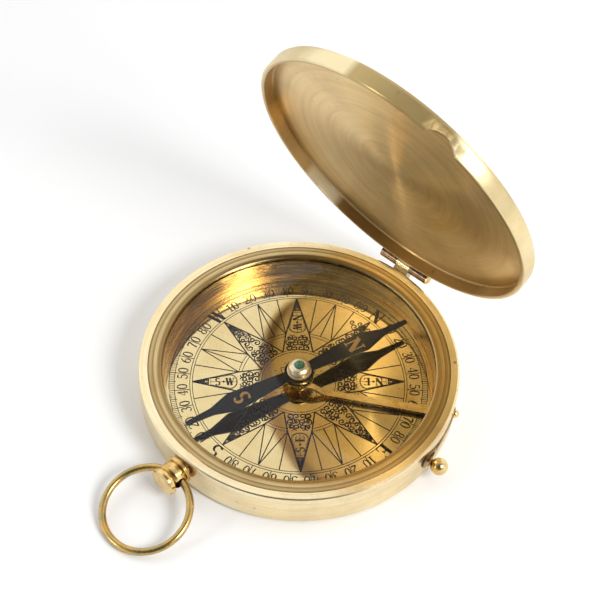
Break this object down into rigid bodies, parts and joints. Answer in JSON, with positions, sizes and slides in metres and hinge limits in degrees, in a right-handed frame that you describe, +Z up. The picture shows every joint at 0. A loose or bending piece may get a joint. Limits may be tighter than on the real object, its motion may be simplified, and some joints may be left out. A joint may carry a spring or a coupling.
{
  "type": "lidded pocket compass",
  "caption": "Round brass pocket compass with a hinged lid, glazed dial, pivoted needle, push knob that lifts the needle, and a carrying ring.",
  "frame": {"origin": "centre of the flat base", "axes": "+Z up through the needle's pivot, +Y towards the lid hinge, -Y towards the pendant and its ring, +X towards the knob"},
  "size_m": [0.0811, 0.1041, 0.0864],
  "materials": {
    "brass_case": "satin turned, lacquered",
    "brass_bezel": "turned, lacquered",
    "brass_lid": "spun and brushed inside, satin outside",
    "brass_polished": "polished",
    "brass_works": "satin",
    "hinge_bronze": "darkened by handling",
    "crystal_glass": "clear",
    "dial_print": "glossy printed cream",
    "needle_black": "semi-gloss",
    "steel": "fine brushed",
    "green_jewel": "polished"
  },
  "bodies": {
    "case": {"case_shell": "brass_case", "bezel_ring": "brass_bezel", "crystal": "crystal_glass", "inner_sleeve": "brass_bezel", "dial_plate": "dial_print", "dial_retaining_ring": "brass_bezel", "pivot_post": "brass_works", "post_screw": "brass_works", "pivot_point": "steel", "lever_stud": "brass_works", "knob_bush": "brass_works", "leaf_spring": "steel", "leaf_screw": "brass_polished", "hinge_case_knuckle": "hinge_bronze", "pendant_stem": "brass_polished", "pendant_nut": "brass_works", "pendant_collar": "brass_polished", "pendant_barrel": "brass_polished", "pendant_cap": "brass_polished"},
    "lid": {"lid_shell": "brass_lid", "hinge_lid_knuckle_left": "hinge_bronze", "hinge_lid_knuckle_right": "hinge_bronze", "hinge_pin": "hinge_bronze"},
    "ring": {"carrying_ring": "brass_polished"},
    "knob": {"knob_ball": "brass_polished", "knob_stem": "steel"},
    "lever": {"lifting_lever": "brass_works"},
    "collar": {"lifting_collar": "brass_works"},
    "needle": {"needle_blade": "needle_black", "needle_cap": "brass_works", "bearing_cup": "steel", "cap_jewel": "green_jewel"}
  },
  "joints": [
    {"name": "lid_hinge", "type": "hinge", "parent": "case", "child": "lid", "pos_m": [0, 0.04013, 0.0102], "axis": [-1, 0, 0], "range_deg": [-74.8, 35]},
    {"name": "ring_swing", "type": "hinge", "parent": "case", "child": "ring", "pos_m": [-0.00244, -0.04105, 0.0056], "axis": [-0.9982, 0.0593, 0], "range_deg": [-76, 103]},
    {"name": "knob_press", "type": "slide", "parent": "case", "child": "knob", "axis": [-0.999, -0.0436, 0], "range_m": [0, 0.0005], "stiffness_N_per_m": 600, "springref_m": -0.0005, "deforming": ["leaf_spring"]},
    {"name": "lever_tilt", "type": "hinge", "parent": "case", "child": "lever", "pos_m": [0.03141, 0.01532, 0.0026], "axis": [0.342, 0.9397, 0], "range_deg": [0, 1.38]},
    {"name": "collar_lift", "type": "slide", "parent": "case", "child": "collar", "axis": [0, 0, 1], "range_m": [0, 0.00066]},
    {"name": "needle_spin", "type": "hinge", "parent": "collar", "child": "needle", "pos_m": [0, 0, 0.00568], "axis": [0, 0, 1], "continuous": true}
  ],
  "couplings": [
    {"joint": "lever_tilt", "follows": "knob_press", "rad_per_m": 48.135},
    {"joint": "collar_lift", "follows": "knob_press", "ratio": 1.32}
  ]
}
